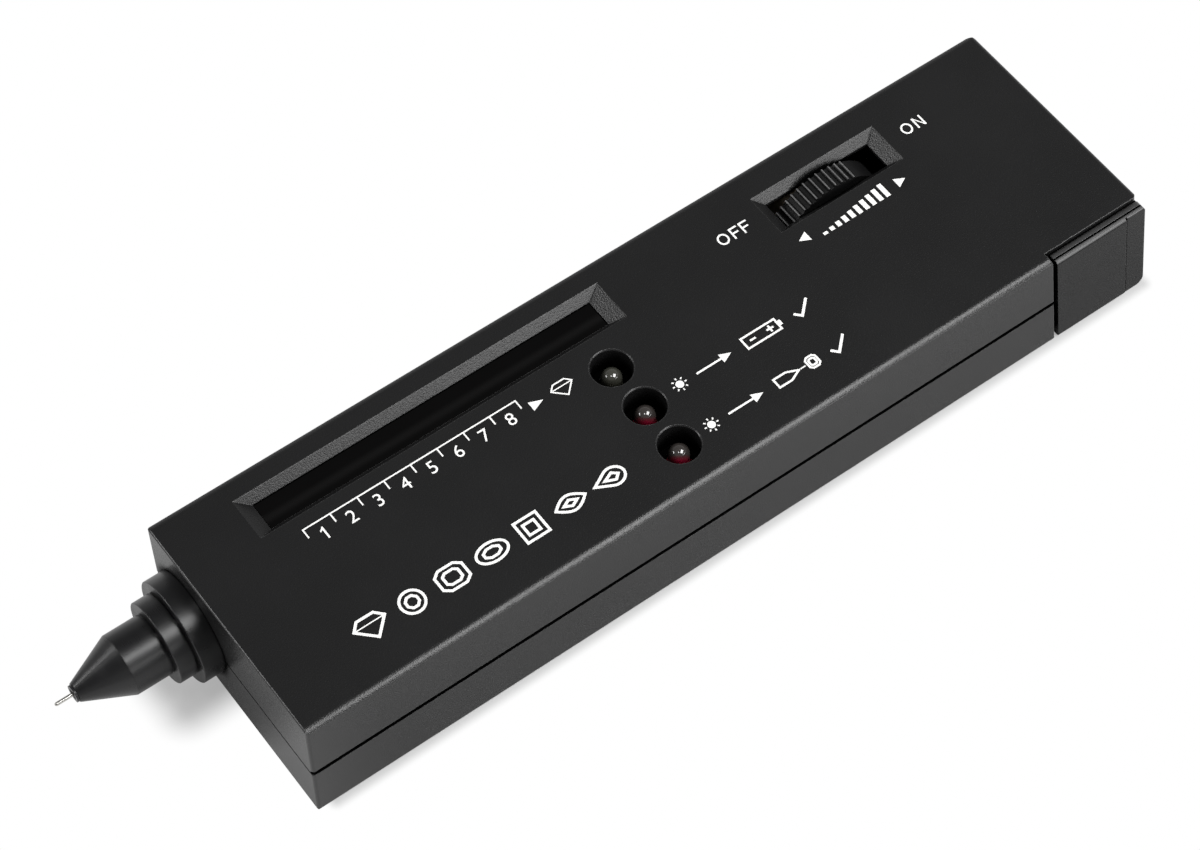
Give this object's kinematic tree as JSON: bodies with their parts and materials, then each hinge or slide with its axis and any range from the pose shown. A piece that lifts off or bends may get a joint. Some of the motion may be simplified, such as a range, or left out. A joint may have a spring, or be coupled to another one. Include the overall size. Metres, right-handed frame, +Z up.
{
  "type": "diamond tester",
  "caption": "Hand-held gem tester: flat black case with a stepped probe nose and sprung needle, a bevelled bar display, round lamp wells, a knurled thumbwheel and a slide-off battery cover.",
  "frame": {"origin": "middle of the base of the case", "axes": "+X from the probe towards the rear end, +Y towards the side of the display and the probe, +Z up"},
  "size_m": [0.1741, 0.04, 0.0229],
  "materials": {
    "case_plastic": "satin, fine grain",
    "cover_plastic": "satin, fine grain",
    "smoked_window": "polished, dark",
    "probe_plastic": "turned, semi-gloss",
    "bush_plastic": "moulded",
    "needle_steel": "ground",
    "brass": "turned",
    "ceramic": "unglazed",
    "spring_steel": "drawn wire",
    "plug_plastic": "moulded",
    "white_lead": "smooth insulation",
    "wheel_plastic": "moulded ridges",
    "shaft_steel": "turned",
    "screw_steel": "plated",
    "pot_body": "pressed board",
    "switch_body": "moulded",
    "clear_lamp": "clear dome",
    "red_lamp": "clear dome, dyed",
    "spacer_plastic": "moulded",
    "green_light": "diffused",
    "amber_light": "diffused",
    "red_light": "diffused",
    "holder_plastic": "moulded",
    "board_laminate": "solder mask",
    "chip_plastic": "moulded",
    "capacitor_sleeve": "shrunk sleeve",
    "resistor_body": "lacquered",
    "trimmer_body": "moulded",
    "buzzer_can": "moulded",
    "battery_jacket": "lacquered",
    "terminal_metal": "plated",
    "connector_plastic": "moulded",
    "red_lead": "smooth insulation",
    "black_lead": "smooth insulation",
    "print_ink": "printed, matt",
    "foam": "open-cell foam"
  },
  "bodies": {
    "case": {"top_case": "case_plastic", "bottom_case": "case_plastic", "display_window": "smoked_window", "case_screws": "screw_steel", "probe_collar": "probe_plastic", "probe_ring": "probe_plastic", "probe_barrel": "probe_plastic", "nose_cone": "probe_plastic", "tip_bush": "bush_plastic", "probe_spring": "spring_steel", "probe_plug": "plug_plastic", "probe_leads": "white_lead", "potentiometer": "pot_body", "power_switch": "switch_body", "signal_lamp": "clear_lamp", "battery_lamp": "red_lamp", "ready_lamp": "red_lamp", "lamp_spacers": "spacer_plastic", "green_bars": "green_light", "amber_bars": "amber_light", "red_bars": "red_light", "bar_holder": "holder_plastic", "main_board": "board_laminate", "board_screws": "screw_steel", "driver_chip": "chip_plastic", "amplifier_chips": "chip_plastic", "capacitors": "capacitor_sleeve", "resistors": "resistor_body", "trimmers": "trimmer_body", "transistors": "chip_plastic", "buzzer": "buzzer_can", "battery": "battery_jacket", "battery_terminals": "terminal_metal", "snap_connector": "connector_plastic", "red_lead": "red_lead", "black_lead": "black_lead"},
    "wheel": {"thumbwheel": "wheel_plastic", "wheel_shaft": "shaft_steel", "wheel_screw": "screw_steel"},
    "needle": {"needle": "needle_steel", "needle_carrier": "brass", "heater": "ceramic"},
    "cover": {"battery_cover": "cover_plastic", "cover_pad": "foam"}
  },
  "joints": [
    {"name": "wheel_turn", "type": "hinge", "parent": "case", "child": "wheel", "pos_m": [0.0391, 0.01139, 0.01295], "axis": [0, 1, 0], "range_deg": [0, 280]},
    {"name": "needle_press", "type": "slide", "parent": "case", "child": "needle", "axis": [1, 0, 0], "range_m": [0, 0.0012], "stiffness_N_per_m": 400, "springref_m": -0.001, "deforming": ["probe_spring"]},
    {"name": "cover_slide", "type": "slide", "parent": "case", "child": "cover", "axis": [1, 0, 0], "range_m": [0, 0.025]}
  ]
}
